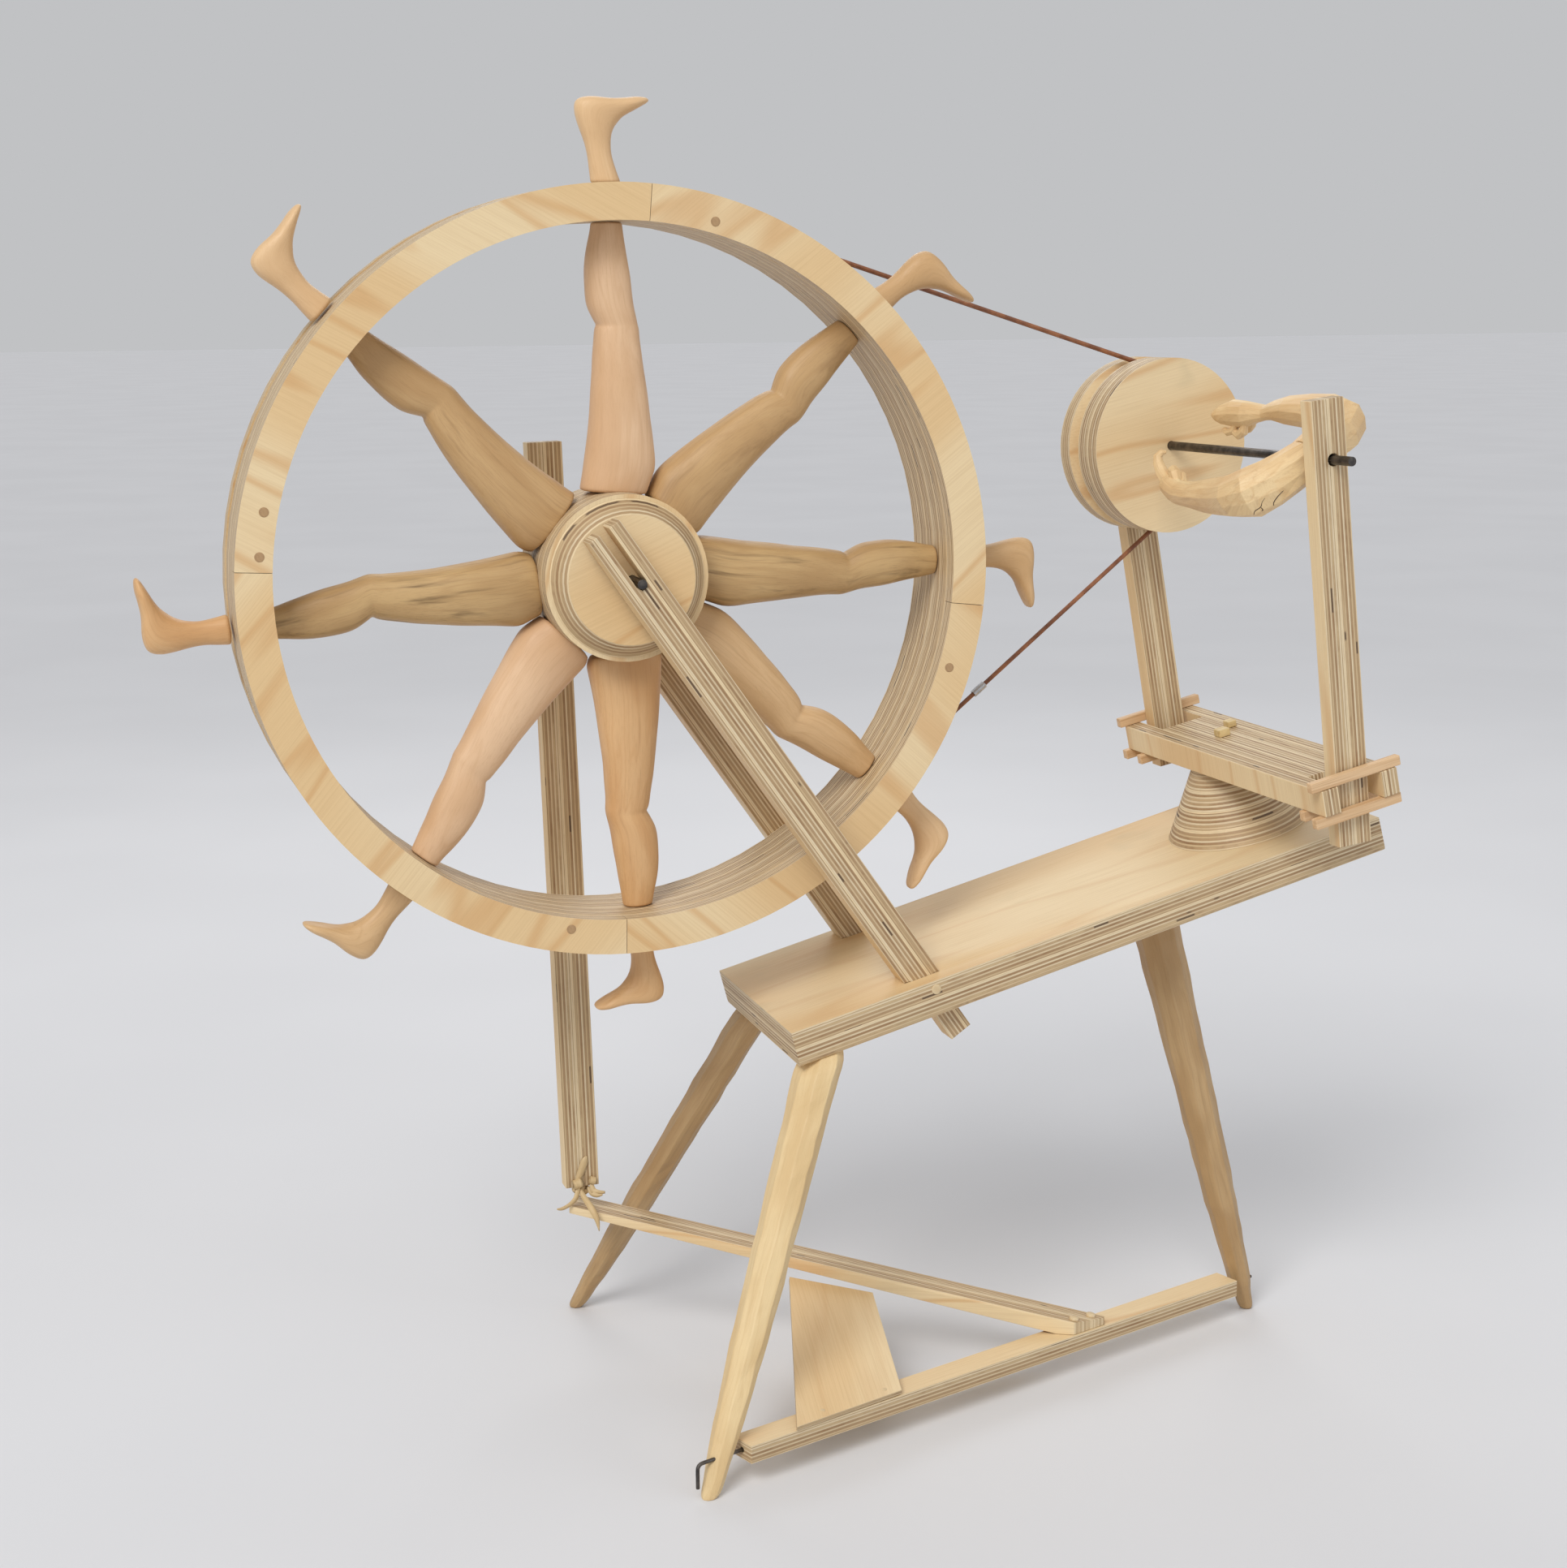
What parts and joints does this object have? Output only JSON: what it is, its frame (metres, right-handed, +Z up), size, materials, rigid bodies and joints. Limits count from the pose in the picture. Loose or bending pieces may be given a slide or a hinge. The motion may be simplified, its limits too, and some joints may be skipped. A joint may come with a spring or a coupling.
{
  "type": "spinning wheel",
  "caption": "Upright treadle spinning wheel of plywood and carved limb-shaped spokes, with a turning rim wheel, crank, footman, treadle, drive band and flyer with carved arms.",
  "frame": {"origin": "centre of the box around the whole object, at floor level", "axes": "+X from the drive wheel towards the flyer, in the plane of the wheel; -Y is the front, where the spindle's bare tip is; +Z up"},
  "size_m": [1.2256, 0.525, 1.2818],
  "materials": {
    "ply": "pale-faced plywood, sanded and oiled, with layered edges",
    "carved_limb": "knife-carved limb wood, oiled",
    "pale_limb": "knife-carved pale wood, oiled",
    "hardwood": "split hardwood, waxed",
    "turned_ply": "turned plywood stack with layered rings",
    "steel": "dark bare steel rod",
    "band": "round reddish-brown leather band",
    "shavings": "bundle of thin wood shavings"
  },
  "bodies": {
    "frame": {"post_front": "ply", "post_back": "ply", "bench": "ply", "leg_front_left": "carved_limb", "leg_back_left": "carved_limb", "leg_right": "carved_limb", "cone": "turned_ply", "spindle_carrier": "ply", "maiden_front": "ply", "maiden_back": "ply", "key_front_top": "hardwood", "key_front_low": "hardwood", "key_front_inner": "hardwood", "key_back_top": "hardwood", "key_back_low": "hardwood", "key_back_inner": "hardwood", "wedge_left": "hardwood", "wedge_right": "hardwood", "drive_band": "band", "band_clip": "steel", "pivot_pin_left": "steel", "pivot_pin_right": "steel"},
    "wheel": {"rim_front_1": "ply", "rim_front_2": "ply", "rim_front_3": "ply", "rim_front_4": "ply", "rim_sheet_2": "ply", "rim_sheet_3": "ply", "rim_sheet_4": "ply", "rim_sheet_5": "ply", "rim_sheet_6": "ply", "spoke_leg_1": "carved_limb", "spoke_leg_2": "carved_limb", "spoke_leg_3": "carved_limb", "spoke_leg_4": "carved_limb", "spoke_leg_5": "carved_limb", "spoke_leg_6": "carved_limb", "spoke_leg_7": "carved_limb", "spoke_leg_8": "carved_limb", "spoke_foot_1": "pale_limb", "spoke_foot_2": "pale_limb", "spoke_foot_3": "pale_limb", "spoke_foot_4": "pale_limb", "spoke_foot_5": "pale_limb", "spoke_foot_6": "pale_limb", "spoke_foot_7": "pale_limb", "spoke_foot_8": "pale_limb", "hub_front": "ply", "hub_core": "ply", "hub_back": "ply", "axle_crank": "steel"},
    "flyer": {"spindle": "steel", "pulley": "ply", "flyer_arms": "pale_limb"},
    "treadle": {"treadle_axle_bar": "ply", "treadle_bar": "ply", "footboard": "ply"},
    "footman": {"footman_bar": "ply", "footman_tie": "shavings"}
  },
  "joints": [
    {"name": "wheel_spin", "type": "hinge", "parent": "frame", "child": "wheel", "pos_m": [-0.1656, 0.01906, 0.839], "axis": [0, 1, 0], "continuous": true},
    {"name": "flyer_spin", "type": "hinge", "parent": "frame", "child": "flyer", "pos_m": [0.44434, -0.04322, 0.94435], "axis": [-0.1059, 0.9944, -0.0012], "continuous": true},
    {"name": "treadle_hinge", "type": "hinge", "parent": "frame", "child": "treadle", "pos_m": [-0.1392, -0.22194, 0.035], "axis": [0.9444, 0.3289, 0], "range_deg": [-17, 1.2]},
    {"name": "footman_hinge", "type": "hinge", "parent": "treadle", "child": "footman", "pos_m": [-0.1781, 0.16656, 0.165], "axis": [0.9444, 0.3289, 0], "range_deg": [-1.2, 17]}
  ],
  "couplings": [
    {"joint": "flyer_spin", "follows": "wheel_spin", "ratio": 4.622},
    {"joint": "footman_hinge", "follows": "treadle_hinge", "ratio": -1}
  ]
}
